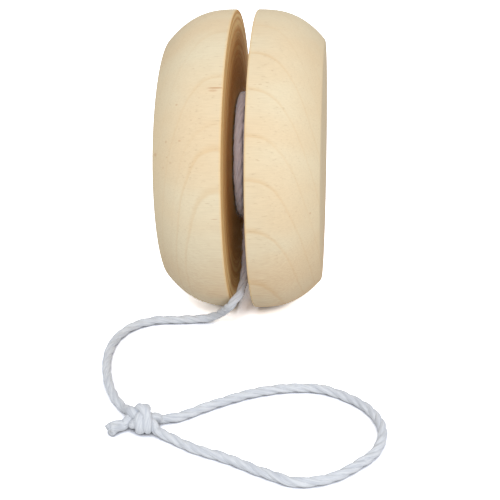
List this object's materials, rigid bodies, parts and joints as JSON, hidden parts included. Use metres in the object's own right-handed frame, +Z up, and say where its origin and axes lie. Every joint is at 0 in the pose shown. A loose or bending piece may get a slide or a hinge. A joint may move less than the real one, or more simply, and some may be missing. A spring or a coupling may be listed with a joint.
{
  "type": "yo yo",
  "caption": "Plain wooden yo-yo with domed halves on a dowel axle and a twisted cotton string wound in the gap, ending in a knotted finger loop.",
  "frame": {"origin": "on the surface that the yo-yo stands on, below the middle of the string gap", "axes": "+X along the axle towards the right half, +Y to the back, away from the side where the string hangs out, +Z up"},
  "size_m": [0.0496, 0.0882, 0.055],
  "materials": {
    "turned_wood": "sanded, unvarnished pale maple",
    "dowel_wood": "sanded, unvarnished birch dowel",
    "cotton_string": "matt white twisted cotton"
  },
  "bodies": {
    "string": {"string_winding": "cotton_string", "string_line": "cotton_string", "finger_knot": "cotton_string", "finger_loop": "cotton_string", "string_tail": "cotton_string"},
    "spool": {"left_half": "turned_wood", "right_half": "turned_wood", "axle_dowel": "dowel_wood"}
  },
  "joints": [
    {"name": "spool_spin", "type": "hinge", "parent": "string", "child": "spool", "pos_m": [0, 0, 0.0275], "axis": [1, 0, 0], "continuous": true}
  ]
}
